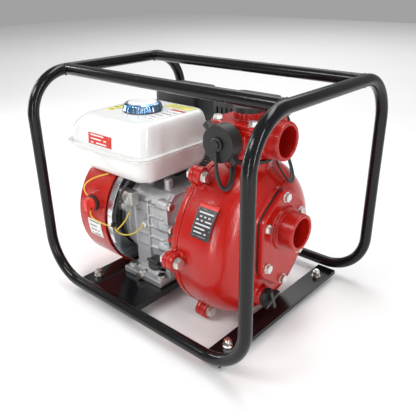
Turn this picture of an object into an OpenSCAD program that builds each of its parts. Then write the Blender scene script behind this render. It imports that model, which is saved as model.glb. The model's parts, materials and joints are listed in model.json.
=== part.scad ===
/* [Carrying frame] */
// Outer diameter of the frame tube
tube_d = 20; // [16:0.5:22]
// Wall of the frame tube
tube_wall = 1.8; // [1.2:0.1:2.5]
// Half of the distance between the two end hoops
post_x = 235; // [230:1:245]
// Half of the distance between the posts of one hoop
post_y = 185; // [182:1:200]
// Height of the top tubes above the bottom tubes
frame_h = 380; // [370:1:400]
// Bend radius at the foot of each post
foot_bend = 78; // [60:1:90]
// Bend radius at the top of each post
top_bend = 76; // [60:1:85]
// Half of the distance between the two long top rails
rail_y = 108; // [90:1:109]
// Half of the distance between the two cross members
member_x = 165; // [160:1:170]
// Width of a cross member
member_w = 37; // [34:1:40]
// Half of the distance between the rubber feet along the width
foot_y = 137; // [130:1:145]

/* [Engine] */
// Sideways offset of the crankshaft from the middle of the frame
crank_y = -14; // [-16:1:-10]
// Height of the crankshaft above the base plate
crank_h = 106; // [104:1:108]
// Tilt of the cylinder above the horizontal
cyl_tilt = 25; // [22:1:28]
// Radius of the fan housing
fan_r = 121; // [116:1:124]
// Spacing of the engine's foot bolts along the crankshaft
hole_x = 76; // [74:0.5:78]
// Spacing of the engine's foot bolts across the crankshaft
hole_y = 162; // [158:1:164]

/* [Pump] */
// Outer radius of the pump casing
casing_r = 138; // [134:1:140]
// Radius of the circle of casing lugs
lug_circle = 149; // [148:1:150]
// Radius over the threads of the 2 inch ports
port_r = 29.8; // [29:0.1:30.5]
// Radius over the threads of the side outlets
side_r = 23.9; // [23:0.1:24.3]
// Reach of each side outlet from the middle of the head
side_reach = 70; // [68:1:72]
// Radius of the impeller
impeller_r = 70; // [60:1:72]

/* [Fuel tank] */
// Length of the tank over its rim
tank_l = 220; // [210:1:222]
// Width of the tank over its rim
tank_w = 200; // [186:1:204]
// Radius of the filler cap
cap_r = 34; // [32:1:36]

/* [Hidden] */
$fn = 48;
tube_r = tube_d / 2;
foot_h = 14;
web_t = 3;
member_h = 8;
tube_z = foot_h + web_t + tube_r;
top_z = tube_z + frame_h;
plate_z = tube_z + 6;
crank_z = plate_z + crank_h;
shaft_r = 12.5;
run_gap = 0.05;
gap = 0.3;
cover_bolt_z = [-32, 8, 52];
crank_gear_r = 16;
cam_drop = 3 * crank_gear_r + 0.5;
foot_x0 = -116;
foot_len = 99;
case_x0 = -100;
case_x1 = -22;
cover_x1 = 0;
case_wall = 7;
fan_x0 = -205;
fan_x1 = -131;
recoil_r = 82;
fly_r = 86;
deck = 72;
barrel_len = 62;
head_len = 34;
rocker_len = 24;
cyl_x = -62;
bore_r = 34;
joint_x = 72;
lug_x0 = 63;
lug_x1 = 85;
front_x = 169;
gasket_t = 3;
cover_t = 9;
casing_z = crank_z + 11;
cover_z = crank_z + 26;
port_z = crank_z + 47;
port_tip = 214;
head_x = 106;
head_z = crank_z + 189;
head_tip = 180;
head_base = head_z - 32;
head_top = head_z + 19;
prime_t = 6;
neck_r = 24;
neck_top = head_top + prime_t + 12;
drain_y = crank_y - 40;
drain_z = crank_z - 66;
drain_x = 176;
thread_pitch = 2.309;
cap_len = 24;
rim_z = 279;
tank_top = 335;
tank_floor = 228;
tank_x = -22 - tank_l / 2;
tank_y = 68 - tank_w / 2;
cap_x = -120;
cap_y = -33;
switch_x = -154;
switch_z = crank_z + 38;
handle_x = -216;
handle_z = crank_z + 62;
pulley_r = 58;
dip_x = -36;
dip_y = crank_y - 84;
dip_z = crank_z - 60;
dip_tilt = 50;
air_x = -145;
air_y = 110;
exh_x = 10;
exh_y = 108;

// ---- helpers -------------------------------------------------------------

// Points of one rounded corner of an outline, between its neighbours
function corner_arc(p, c, n, r, k) =
  let (a0 = atan2(c.y - p.y, c.x - p.x) - 90)
  let (a1 = atan2(n.y - c.y, n.x - c.x) - 90)
  let (s = (a1 - a0 + 720) % 360)
  [for (j = [0:k]) c + r * [cos(a0 + s * j / k), sin(a0 + s * j / k)]];

// A convex outline with round corners about the given centres
function rounded(c, r, k = 6) =
  let (m = len(c))
  [for (i = [0:m - 1]) each corner_arc(c[(i + m - 1) % m], c[i], c[(i + 1) % m], r, k)];

// Corner centres of a rectangle whose outer size is w by h
function rect_corners(w, h, r) =
  let (a = w / 2 - r, b = h / 2 - r)
  [[a, -b], [a, b], [-a, b], [-a, -b]];

// A plate with round corners
module round_plate(w, h, r, t, k = 6) {
  linear_extrude(t) polygon(rounded(rect_corners(w, h, r), r, k));
}

// A plate with round corners whose middle is at x, y
module plate_at(x, y, z, w, h, r, t, k = 6) {
  translate([x, y, z]) round_plate(w, h, r, t, k);
}

// Turns a shape that stands on z so that it points along +X, -X, +Y or -Y
module to_x(p) { translate(p) rotate([0, 90, 0]) children(); }
module to_left(p) { translate(p) rotate([0, -90, 0]) children(); }
module to_back(p) { translate(p) rotate([-90, 0, 0]) children(); }
module to_front(p) { translate(p) rotate([90, 0, 0]) children(); }

// Puts an outline drawn in y, z into the plane across the crankshaft
module across(x, t) { translate([x, 0, 0]) rotate([90, 0, 90]) linear_extrude(t) children(); }

// A ring with a plain hole
module ring(ro, ri, t) {
  difference() {
    cylinder(r = ro, h = t);
    translate([0, 0, -1]) cylinder(r = ri, h = t + 2);
  }
}

// A hexagon bolt with a washer under its head, the shank pointing down
module hex_bolt(d, l) {
  cylinder(r = d * 1.05, h = 1.5);
  translate([0, 0, 1.5]) cylinder(r = d * 0.93, h = d * 0.65, $fn = 6);
  translate([0, 0, -l]) cylinder(r = d / 2, h = l + 0.5);
}

// A hexagon nut
module hex_nut(d) {
  difference() {
    cylinder(r = d * 0.93, h = d * 0.8, $fn = 6);
    translate([0, 0, -1]) cylinder(r = d / 2 + 0.05, h = d * 0.8 + 2);
  }
}

// A round tube swept along a list of points
function unit(v) = v / norm(v);
function along(p, i) = unit(p[min(i + 1, len(p) - 1)] - p[max(i - 1, 0)]);
module sweep(p, r, ref = [0, 1, 0], n = 8) {
  rings = len(p);
  pts = [for (i = [0:rings - 1])
    let (t = along(p, i), a = unit(cross(t, ref)), b = cross(a, t))
    for (j = [0:n - 1]) p[i] + r * (cos(360 * j / n) * a + sin(360 * j / n) * b)];
  sides = [for (i = [0:rings - 2], j = [0:n - 1])
    let (a = i * n + j, b = i * n + (j + 1) % n)
    each [[a, b, b + n], [a, b + n, a + n]]];
  caps = [[for (j = [n - 1:-1:0]) j], [for (j = [0:n - 1]) (rings - 1) * n + j]];
  polyhedron(points = pts, faces = concat(sides, caps), convexity = 6);
}

// A smooth curve through four control points
function bez(a, b, c, d, t) =
  pow(1 - t, 3) * a + 3 * pow(1 - t, 2) * t * b + 3 * (1 - t) * t * t * c + pow(t, 3) * d;
function curve(a, b, c, d, n) = [for (i = [0:n]) bez(a, b, c, d, i / n)];

// ---- carrying frame ------------------------------------------------------

module tube_section() {
  difference() {
    circle(r = tube_r);
    circle(r = tube_r - tube_wall);
  }
}

module tube_run(l) { linear_extrude(l) tube_section(); }

module tube_bend(r) { rotate_extrude(angle = 90) translate([r, 0]) tube_section(); }

module half_hoop() {
  to_x([0, -post_y, tube_z]) tube_run(post_x - foot_bend);
  translate([post_x - foot_bend, -post_y, tube_z + foot_bend])
    rotate([90, 0, 0]) rotate([0, 0, -90]) tube_bend(foot_bend);
  translate([post_x, -post_y, tube_z + foot_bend]) tube_run(frame_h - foot_bend - top_bend);
  translate([post_x, -post_y + top_bend, top_z - top_bend])
    rotate([90, 0, 90]) rotate([0, 0, 90]) tube_bend(top_bend);
}

module hoop() {
  half_hoop();
  mirror([0, 1, 0]) half_hoop();
  to_back([post_x, -post_y + top_bend, top_z]) tube_run(2 * (post_y - top_bend));
}

module right_hoop() { color("#17181a") hoop(); }

module left_hoop() { color("#17181a") mirror([1, 0, 0]) hoop(); }

module top_rails() {
  color("#17181a")
    for (s = [-1, 1]) {
      difference() {
        to_x([-post_x, s * rail_y, top_z]) tube_run(2 * post_x);
        for (e = [-1, 1]) {
          to_back([e * post_x, s * rail_y - 30, top_z]) cylinder(r = tube_r, h = 60);
        }
      }
    }
}

module cross_members() {
  color("#141416")
    for (s = [-1, 1]) {
      translate([s * member_x, 0, foot_h + web_t - member_h / 2])
        difference() {
          cube([member_w, 2 * post_y - 12, member_h], center = true);
          translate([0, 0, -web_t]) cube([member_w - 6, 2 * post_y + 2, member_h], center = true);
          for (e = [-1, 1]) {
            translate([0, e * foot_y, -member_h]) cylinder(r = 4.4, h = 2 * member_h);
          }
        }
    }
}

plate_w = 108;
plate_x = -64;
plate_t = 4;
module engine_base_plate() {
  reach = post_y - tube_r + 0.1;
  color("#18191b")
    difference() {
      union() {
        translate([plate_x - plate_w / 2, -reach, plate_z - plate_t])
          cube([plate_w, 2 * reach, plate_t]);
        for (s = [-1, 1]) {
          translate([plate_x + s * (plate_w / 2 - 1.5) - 1.5, -reach + 1.5, plate_z - 13])
            cube([3, 2 * reach - 3, 10]);
        }
      }
      for (p = engine_holes()) {
        translate([p.x, p.y, plate_z - plate_t - 1]) cylinder(r = 4.6, h = plate_t + 2);
      }
      translate([plate_x, crank_y, plate_z - plate_t - 1])
        round_plate(44, 80, 12, plate_t + 2);
    }
}

module rubber_feet() {
  color("#0f0f10")
    for (s = [-1, 1], e = [-1, 1]) {
      translate([s * member_x, e * foot_y, 0])
        difference() {
          union() {
            cylinder(r = 11, h = 7);
            translate([0, 0, 7]) cylinder(r = 13, h = foot_h - 7);
          }
          translate([0, 0, 4]) cylinder(r = 4.05, h = foot_h);
        }
    }
}

module foot_bolts() {
  color("#c9ccd0")
    for (s = [-1, 1], e = [-1, 1]) {
      translate([s * member_x, e * foot_y, foot_h + web_t]) {
        hex_bolt(8, 12);
        cylinder(r = 7.4, h = 10, $fn = 6);
        cylinder(r = 3.9, h = 14);
      }
    }
}

// ---- engine --------------------------------------------------------------

function engine_holes() =
  [for (i = [-1, 1], j = [-1, 1])
    [foot_x0 + foot_len / 2 + i * hole_x / 2, crank_y + j * hole_y / 2]];

// A point at distance d along the cylinder's axis and h above it, in y, z
function on_cyl(d, h) =
  [crank_y + d * cos(cyl_tilt) - h * sin(cyl_tilt), crank_z + d * sin(cyl_tilt) + h * cos(cyl_tilt)];

// Outline of the crankcase across the shaft, shrunk by w for its hollow
function case_outline(w) = [
  [crank_y - 73 + w, plate_z + 14 + w],
  [crank_y + 84 - w, plate_z + 14 + w],
  on_cyl(deck - w, -46 + w),
  on_cyl(deck - w, 46 - w),
  [crank_y + 18, crank_z + 68 - w],
  [crank_y - 52 + w, crank_z + 68 - w],
  [crank_y - 73 + w, crank_z + 46 - w]
];

// Stands a shape on the cylinder's axis, at distance d from the crankshaft
module on_axis(d) {
  translate([cyl_x, crank_y, crank_z]) rotate([cyl_tilt - 90, 0, 0]) translate([0, 0, d]) children();
}

module foot_pads() {
  for (p = engine_holes()) {
    translate([p.x, p.y, 0]) cylinder(r = 13, h = 12);
  }
}

module crankcase() {
  color("#8e9296")
    difference() {
      union() {
        across(case_x0, case_x1 - case_x0) polygon(case_outline(0));
        translate([foot_x0, crank_y - 95, plate_z])
          cube([foot_len, 190, 12]);
        translate([foot_x0 + 8, crank_y - 80, plate_z])
          cube([foot_len - 14, 164, 18]);
        // bell that carries the fan housing
        to_left([case_x0 + 1, crank_y, crank_z]) cylinder(r = fly_r + 1, h = 14);
        // cast ribs and bosses on the front wall
        for (z = [0:4]) {
          translate([case_x0 + 10, crank_y - 77, crank_z - 40 + z * 21]) cube([66, 6, 3]);
        }
        translate([case_x0 + 40, crank_y - 79, crank_z - 58]) cube([4, 8, 108]);
        for (z = cover_bolt_z) {
          to_x([case_x1 - 14, crank_y - 70, crank_z + z]) cylinder(r = 9, h = 14);
        }
        to_front([case_x0 + 36, crank_y - 70, crank_z + 6]) cylinder(r = 9, h = 10);
        // oil filler neck
        translate([dip_x, dip_y + 20, dip_z - 20]) rotate([dip_tilt, 0, 0]) cylinder(r = 13, h = 26);
        // tank posts
        for (x = [-88, -40]) {
          translate([x, crank_y - 40, crank_z + 60]) cylinder(r = 8, h = tank_floor - crank_z - 60.5);
        }
      }
      across(case_x0 + case_wall, case_x1 - case_x0) polygon(case_outline(case_wall));
      to_x([case_x0 - 30, crank_y, crank_z]) cylinder(r = shaft_r + run_gap, h = 60);
      to_left([case_x0 - 3, crank_y, crank_z]) cylinder(r = fly_r - 6, h = 20);
      on_axis(deck) translate([-90, -90, 0]) cube([180, 180, 60]);
      on_axis(40) cylinder(r = bore_r + 6, h = deck);
      for (p = engine_holes()) {
        translate([p.x, p.y, plate_z - 1]) cylinder(r = 4.6, h = 60);
        translate([p.x, p.y, plate_z + 12]) cylinder(r = 10.5, h = 20);
      }
      translate([dip_x, dip_y + 20, dip_z - 20]) rotate([dip_tilt, 0, 0])
        translate([0, 0, -20]) cylinder(r = 9.4, h = 60);
      to_back([case_x0 + 30, crank_y - 96, plate_z + 9]) cylinder(r = 4.1, h = 24);
    }
}

module crankcase_cover() {
  color("#9a9ea2")
    difference() {
      union() {
        across(case_x1 + 0.2, 9) polygon(case_outline(0));
        to_x([case_x1 + 8, crank_y, crank_z]) cylinder(r = 58, h = cover_x1 - case_x1 - 8);
        for (z = cover_bolt_z) {
          to_x([case_x1 + 0.2, crank_y - 70, crank_z + z]) cylinder(r = 9, h = 11.8);
        }
      }
      to_x([case_x1 - 5, crank_y, crank_z]) cylinder(r = shaft_r + run_gap, h = 60);
      to_x([case_x1 - 5, crank_y, crank_z]) cylinder(r = 30, h = 12);
      for (z = cover_bolt_z) {
        to_x([case_x1 + 6, crank_y - 70, crank_z + z]) cylinder(r = 4.1, h = 20);
      }
      for (p = engine_holes()) {
        translate([p.x, p.y, plate_z]) cylinder(r = 9, h = 20.5);
      }
    }
}

module cylinder_barrel() {
  color("#8e9296")
    difference() {
      union() {
        on_axis(deck + 0.2) cylinder(r = bore_r + 5, h = barrel_len);
        on_axis(deck + 0.2) translate([-46, -44, 0]) cube([92, 88, 7]);
        for (i = [1:7]) {
          on_axis(deck + 4 + i * 7) translate([-50 + i, -48, 0]) cube([100 - 2 * i, 94, 2.4]);
        }
      }
      on_axis(deck - 2) cylinder(r = bore_r, h = barrel_len + 6);
    }
}

module cylinder_head() {
  d0 = deck + barrel_len + 0.4;
  color("#95999d") {
    difference() {
      union() {
        on_axis(d0) translate([-46, -42, 0]) cube([92, 84, head_len]);
        for (i = [0:3]) {
          on_axis(d0 + 3 + i * 8) translate([-52, -48, 0]) cube([104, 94, 2.6]);
        }
      }
      on_axis(d0 - 1) cylinder(r = bore_r, h = 7);
      for (x = [-20, 22]) {
        on_axis(d0 + 19) translate([x, 6, 0]) rotate([90, 0, 0]) cylinder(r = 9, h = 60);
      }
    }
  }
}

module rocker_cover() {
  d0 = deck + barrel_len + head_len + 0.6;
  color("#b9bcc0") {
    on_axis(d0) round_plate(86, 74, 12, 4);
    on_axis(d0 + 4) round_plate(78, 66, 14, rocker_len - 4);
    on_axis(d0 + rocker_len) cylinder(r = 6, h = 4, $fn = 6);
  }
}

module housing_outline(w) {
  intersection() {
    union() {
      circle(r = fan_r - w, $fn = 96);
      rotate(cyl_tilt) translate([0, -48 + w]) square([124 - w, 92 - 2 * w]);
    }
    translate([-200, -200]) square([400, 200 + tank_floor - crank_z - 1 - w]);
  }
}

module blower_housing() {
  color("#c41f1c")
    difference() {
      union() {
        across(fan_x0, fan_x1 - fan_x0) translate([crank_y, crank_z]) housing_outline(0);
        to_front([switch_x, crank_y - 100, switch_z]) cylinder(r = 18, h = 22);
      }
      across(fan_x0 + 3, fan_x1 - fan_x0) translate([crank_y, crank_z]) housing_outline(2.5);
      to_left([fan_x0 + 10, crank_y, crank_z]) cylinder(r = 76, h = 20);
      to_front([switch_x, crank_y - 95, switch_z]) cylinder(r = 8, h = 40);
    }
}

module recoil_cover() {
  t = 2.5;
  color("#c41f1c")
    difference() {
      to_left([fan_x0 - 0.2, crank_y, crank_z])
        rotate_extrude($fn = 96)
          polygon([[0, 35.8], [recoil_r - 26, 35.8], [recoil_r - 12, 31], [recoil_r - 3, 20],
            [recoil_r, 4], [recoil_r + 6, 4], [recoil_r + 6, 0], [recoil_r - t, 0],
            [recoil_r - t, 4], [recoil_r - t - 3, 19], [recoil_r - 13, 28.6],
            [recoil_r - 27, 33.3], [0, 33.3]]);
      for (a = [0:20:340]) {
        translate([fan_x0 - 40, crank_y, crank_z]) rotate([a, 0, 0])
          translate([0, 34, -3]) cube([20, 26, 6]);
      }
      to_back([handle_x, crank_y + 20, handle_z]) cylinder(r = 4, h = 70);
    }
  color("#c41f1c")
    to_left([fan_x0 - 4, crank_y, crank_z]) cylinder(r = 7.95, h = 30);
}

module air_shroud() {
  color("#c3c8cc")
    difference() {
      across(fan_x1 + 0.3, 16) translate([crank_y, crank_z]) housing_outline(4);
      across(fan_x1 + 3.3, 20) translate([crank_y, crank_z]) housing_outline(6);
      to_x([fan_x1 - 1, crank_y, crank_z]) cylinder(r = fly_r + 1, h = 10);
      on_axis(deck - 2) translate([-120, -90, 0]) cube([240, 180, 90]);
      translate([fan_x1 + 3.3, crank_y - 130, 0]) cube([20, 260, crank_z - 40]);
    }
}

module oil_alert_unit() {
  color("#c9ccd0")
    difference() {
      translate([-116, crank_y - 94, crank_z + 42]) cube([36, 15, 25]);
      to_front([-90, crank_y - 70, crank_z + 58]) cylinder(r = 3.2, h = 40);
    }
  color("#e8e8e6")
    translate([-114, crank_y - 98, crank_z + 28]) cube([20, 14, 14]);
}

module switch_base() {
  color("#141414")
    difference() {
      union() {
        to_front([switch_x, crank_y - 122.3, switch_z]) cylinder(r = 15, h = 5);
        to_front([switch_x, crank_y - 106, switch_z]) cylinder(r = 7.6, h = 18);
      }
      to_front([switch_x, crank_y - 92, switch_z]) cylinder(r = 3.05, h = 60);
    }
}

module ignition_coil() {
  color("#2a2a2c") {
    translate([0, crank_y, crank_z]) rotate([-55, 0, 0]) {
      translate([-160, -14, fly_r + 1]) cube([22, 28, 12]);
      translate([-158, -26, fly_r + 5]) cube([18, 52, 6]);
    }
  }
}

module spark_plug() {
  d0 = deck + barrel_len + 14;
  tip = on_cyl(d0, 0);
  color("#e9e9e6")
    to_x([-8.8, tip.x, tip.y]) cylinder(r = 7, h = 26);
  color("#c9ccd0")
    to_x([-9.6, tip.x, tip.y]) cylinder(r = 11, h = 8, $fn = 6);
  color("#141414") {
    to_x([10, tip.x, tip.y]) ring(11, 7.1, 22);
    to_x([30, tip.x, tip.y]) cylinder(r = 11, h = 8);
    sweep(curve([34, tip.x, tip.y + 9], [30, 82, 262], [-70, 54, 272], [-126, 78, 222], 16), 3.5);
  }
}

module carburettor() {
  y0 = 96;
  z0 = 276;
  color("#a9adb1") {
    to_left([-72, y0, z0 + 2]) cylinder(r = 15, h = 26);
    translate([-98, y0 - 16, z0 - 20]) cube([24, 32, 22]);
    translate([-86, y0, z0 - 27]) cylinder(r = 12, h = 12);
    to_left([-60, y0, z0]) cylinder(r = 12, h = 14);
    translate([-64, y0 - 20, z0 - 24]) cube([5, 40, 42]);
  }
}

module air_cleaner_base() {
  color("#161616") {
    translate([air_x, air_y, 286]) round_plate(93, 78, 14, 12);
    to_left([-98.6, 96, 278]) cylinder(r = 14, h = 30);
    translate([-140, 84, 262]) cube([20, 24, 26]);
  }
}

module air_cleaner_cover() {
  color("#1a1a1b")
    difference() {
      union() {
        translate([air_x, air_y, 298.3]) round_plate(110, 84, 16, 48);
        translate([air_x, air_y, 344]) round_plate(102, 76, 16, 11);
      }
      translate([air_x, air_y, 295]) round_plate(105, 79, 14, 48);
      translate([air_x, air_y, 330]) cylinder(r = 3.4, h = 40);
    }
  color("#c9ccd0")
    translate([air_x, air_y, 355.2]) ring(12, 3.3, 5);
}

module muffler() {
  color("#3b3d3c") {
    translate([exh_x, exh_y, 278]) round_plate(84, 84, 22, 66);
    to_x([exh_x + 36, exh_y, 318]) ring(9, 7, 14);
    translate([exh_x - 20, exh_y - 38, 262]) cylinder(r = 12, h = 18);
  }
}

module muffler_guard() {
  t = 2;
  w = 96;
  d = 94;
  color("#1c1e1d")
    difference() {
      translate([exh_x, exh_y, 288]) round_plate(w, d, 12, 65);
      translate([exh_x, exh_y, 284]) round_plate(w - 2 * t, d - 2 * t, 11, 67);
      for (i = [-3:3]) {
        translate([exh_x + i * 11 - 2, exh_y - 80, 300]) cube([4, 160, 38]);
      }
      for (i = [-3:3]) {
        translate([exh_x + i * 11 - 2, exh_y - 32, 345]) cube([4, 64, 20]);
      }
      to_x([exh_x, exh_y, 318]) cylinder(r = 11, h = 100);
    }
  color("#1c1e1d")
    for (s = [-1, 1]) {
      translate([exh_x + s * 25 - 6, exh_y - 46, 300]) cube([12, 3.8, 14]);
    }
}

// ---- fuel tank -----------------------------------------------------------

module tank_slab(w, h, r, z, t, dx = 0, dy = 0) {
  translate([tank_x + dx, tank_y + dy, z]) round_plate(w, h, r, t);
}

module upper_form(t) {
  hull() {
    tank_slab(tank_l - 16 - 2 * t, tank_w - 16 - 2 * t, 20, rim_z, 1);
    tank_slab(tank_l - 20 - 2 * t, tank_w - 20 - 2 * t, 20, rim_z + 26, 1);
    tank_slab(tank_l - 54 - 2 * t, tank_w - 30 - 2 * t, 18, tank_top - 5 - t, 1, 18, 0);
    tank_slab(tank_l - 64 - 2 * t, tank_w - 40 - 2 * t, 15, tank_top - 1 - t, 1, 18, 0);
  }
}

module fuel_tank_upper() {
  color("#f1f2f0")
    difference() {
      union() {
        upper_form(0);
        tank_slab(tank_l, tank_w, 16, rim_z + 0.2, 2.6);
      }
      difference() {
        translate([0, 0, -1]) upper_form(2.5);
        translate([cap_x, cap_y, tank_top - 13]) cylinder(r = cap_r + 9, h = 20);
      }
      translate([cap_x, cap_y, tank_top - 6]) cylinder(r = cap_r + 6, h = 10);
      translate([cap_x, cap_y, tank_top - 60]) cylinder(r = 24, h = 70);
    }
  color("#f1f2f0")
    translate([cap_x, cap_y, tank_top - 6.2]) ring(27, 24, 8);
}

module lower_form(t) {
  hull() {
    tank_slab(tank_l - 16 - 2 * t, tank_w - 16 - 2 * t, 20, rim_z - 1, 1);
    tank_slab(tank_l - 20 - 2 * t, tank_w - 22 - 2 * t, 20, tank_floor + 14, 1);
    tank_slab(tank_l - 40 - 2 * t, tank_w - 40 - 2 * t, 16, tank_floor + t, 1, 2, 0);
  }
}

module fuel_tank_lower() {
  color("#eceeec")
    difference() {
      union() {
        lower_form(0);
        tank_slab(tank_l, tank_w, 16, rim_z - 2.6, 2.6);
        to_back([-86, tank_y + tank_w / 2 - 13, 264]) cylinder(r = 6, h = 17);
      }
      translate([0, 0, 1.2]) lower_form(2.5);
      to_back([-86, tank_y + tank_w / 2 - 30, 264]) cylinder(r = 3, h = 60);
    }
}

module tank_cap() {
  color("#2f6fb0")
    difference() {
      union() {
        translate([cap_x, cap_y, tank_top + 2.3]) cylinder(r = cap_r, h = 10);
        for (a = [0:20:340]) {
          translate([cap_x, cap_y, tank_top + 2.3]) rotate([0, 0, a])
            translate([cap_r - 1, 0, 0]) cylinder(r = 3.4, h = 9);
        }
      }
      translate([cap_x, cap_y, tank_top - 8]) cylinder(r = 27.6, h = 16);
    }
  color("#e6e6e4")
    translate([cap_x, cap_y, tank_top + 12.2]) cylinder(r = cap_r - 5, h = 2.5);
  color("#2f6fb0")
    translate([cap_x, cap_y, tank_top - 10]) cylinder(r = 23.5, h = 18.5);
}

module fuel_hose() {
  color("#1b1b1b")
    to_back([-86, tank_y + tank_w / 2 + 4.3, 264]) cylinder(r = 4, h = 7.5);
}

// Routes of the wires on the front of the engine
function wire_paths() = [
  curve([-146, -104, 226], [-168, -134, 222], [-178, -150, 208], [-164, -142, 191], 12),
  curve([-161, -142, 161], [-152, -150, 146], [-134, -150, 152], [-112, -136, 140], 12),
  curve([-84, -113, 170], [-84, -124, 150], [-104, -124, 138], [-116, -124, 122], 12),
  curve([-66, -99, 144], [-78, -112, 118], [-104, -126, 118], [-114, -126, 134], 12)
];

module wiring_harness() {
  color("#d8c32a")
    for (p = wire_paths()) sweep(p, 1.3);
  color("#151515")
    sweep(curve([-88, -104, 226], [-96, -122, 206], [-108, -128, 176], [-112, -124, 142], 12), 2.6);
}

// ---- pump ----------------------------------------------------------------

function lug_angles() = [0, 56, 124, 180, 240, 300];

// Circles at the casing lugs, standing on the joint plane
module lugs(x0, x1, r) {
  for (a = lug_angles()) {
    to_x([x0, crank_y + lug_circle * cos(a), casing_z + lug_circle * sin(a)])
      cylinder(r = r, h = x1 - x0);
  }
}

module pump_adapter() {
  color("#b3191a")
    difference() {
      union() {
        to_x([cover_x1 + 0.3, crank_y, crank_z]) cylinder(r = 60, h = 12);
        to_x([12, crank_y, crank_z]) cylinder(r = 44, h = 50);
        to_x([60, crank_y, casing_z])
          cylinder(r = casing_r + 1, h = joint_x - 60, $fn = 96);
        lugs(lug_x0, joint_x, 15);
        for (a = lug_angles()) {
          translate([12, crank_y, crank_z]) rotate([a + 30, 0, 0])
            translate([0, -3, 30]) cube([49, 6, 70]);
        }
      }
      to_x([-5, crank_y, crank_z]) cylinder(r = 16, h = 100);
      to_x([joint_x - 6, crank_y, crank_z]) cylinder(r = 26, h = 10);
      lugs(lug_x0 - 1, joint_x + 1, 5.2);
      for (a = [45:90:315]) {
        to_x([-5, crank_y + 46 * cos(a), crank_z + 46 * sin(a)]) cylinder(r = 4.3, h = 30);
      }
      to_x([12.3, crank_y, crank_z]) ring(58, 44, 47);
    }
}

// Outline of the front opening: a tall rounded hexagon, w wider all round
function front_outline(w) =
  [for (p = rounded([[0, -64], [37, -36], [37, 36], [0, 64], [-37, 36], [-37, -36]], 19 + w))
    [p.x + crank_y, p.y + cover_z]];

// The hollow behind the front opening, inside its cup
function cup_hollow() =
  [for (p = rounded([[0, -44], [21, -27], [21, 27], [0, 44], [-21, 27], [-21, -27]], 14))
    [p.x + crank_y, p.y + cover_z]];

cover_bolts = [[0, 74], [45, 35], [45, -35], [0, -74], [-45, -35], [-45, 35]];

module dome(w) {
  bend = 60;
  x1 = front_x - 3;
  rotate_extrude($fn = 96)
    polygon(concat([[0, joint_x + (w > 0 ? -1 : 0)], [casing_r - w, joint_x + (w > 0 ? -1 : 0)]],
      [for (a = [0:9:90]) [casing_r - bend + (bend - w) * cos(a), x1 - bend + (bend - w) * sin(a)]],
      [[0, x1 - w]]));
}

module volute_casing() {
  color("#c01a1a")
    difference() {
      union() {
        to_x([0, crank_y, casing_z]) dome(0);
        lugs(joint_x, lug_x1, 15);
        across(front_x - 34, 34) polygon(front_outline(3));
        translate([head_x, crank_y, casing_z + 90]) cylinder(r = 38, h = head_base - casing_z - 90 - 1);
        translate([head_x, crank_y, casing_z + 60]) translate([-34, -38, 0]) cube([60, 76, 60]);
        to_x([front_x - 30, drain_y, drain_z]) cylinder(r = 17, h = drain_x - front_x + 30);
      }
      translate([0, -200, 0]) cube([joint_x, 400, casing_z + casing_r + 4]);
      to_x([0, crank_y, casing_z]) dome(7);
      across(front_x - 40, 50) polygon(front_outline(-14));
      translate([head_x, crank_y, casing_z + 60]) cylinder(r = 25, h = 200);
      lugs(joint_x - 1, lug_x1 + 1, 5.2);
      for (p = cover_bolts) {
        to_x([front_x - 18, crank_y + p.x, cover_z + p.y]) cylinder(r = 4.1, h = 30);
      }
      to_x([front_x - 30, drain_y, drain_z]) cylinder(r = 9.4, h = 60);
    }
}

module suction_gasket() {
  color("#161616")
    difference() {
      across(front_x, gasket_t) polygon(front_outline(1.5));
      across(front_x - 1, gasket_t + 2) polygon(front_outline(-13));
      for (p = cover_bolts) {
        to_x([front_x - 1, crank_y + p.x, cover_z + p.y]) cylinder(r = 4.4, h = 10);
      }
    }
}

module suction_cover() {
  x0 = front_x + gasket_t;
  x1 = x0 + cover_t;
  color("#c01a1a")
    difference() {
      union() {
        across(x0, cover_t) polygon(front_outline(2));
        for (p = cover_bolts) {
          to_x([x0, crank_y + p.x, cover_z + p.y]) cylinder(r = 11, h = cover_t);
        }
        to_x([x1 - 1, crank_y, port_z]) cylinder(r = 36, h = 7);
        to_x([x1, crank_y, port_z]) cylinder(r = port_r, h = port_tip - x1);
        across(124, x0 - 124 + 1) polygon(front_outline(-16));
      }
      across(129, x0 - 129 - 3) polygon(cup_hollow());
      to_x([x0 - 5, crank_y, port_z]) cylinder(r = 20, h = 20);
      to_x([x0 + 4, crank_y, port_z]) cylinder(r = 24, h = 80);
      to_x([110, crank_y, crank_z]) cylinder(r = 20, h = 30);
      for (p = cover_bolts) {
        to_x([x0 - 1, crank_y + p.x, cover_z + p.y]) cylinder(r = 4.4, h = 30);
      }
    }
}

module inner_volute() {
  color("#7d8184")
    difference() {
      union() {
        to_x([joint_x + 0.2, crank_y, crank_z]) cylinder(r = impeller_r + 24, h = 38);
        to_x([joint_x + 38, crank_y, crank_z]) cylinder(r = 27, h = 13.6);
        translate([joint_x + 20, crank_y - 78, crank_z]) cylinder(r = 15, h = 100);
      }
      to_x([joint_x - 1, crank_y, crank_z]) cylinder(r = impeller_r + 4, h = 34);
      to_x([joint_x - 1, crank_y, crank_z]) cylinder(r = 20.5, h = 80);
      translate([joint_x + 19, crank_y - 78, crank_z]) cylinder(r = 11, h = 110);
    }
}

module seal_seat() {
  color("#d6d3c8")
    to_x([joint_x - 5.8, crank_y, crank_z]) ring(25.9, 14, 5.6);
}

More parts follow.
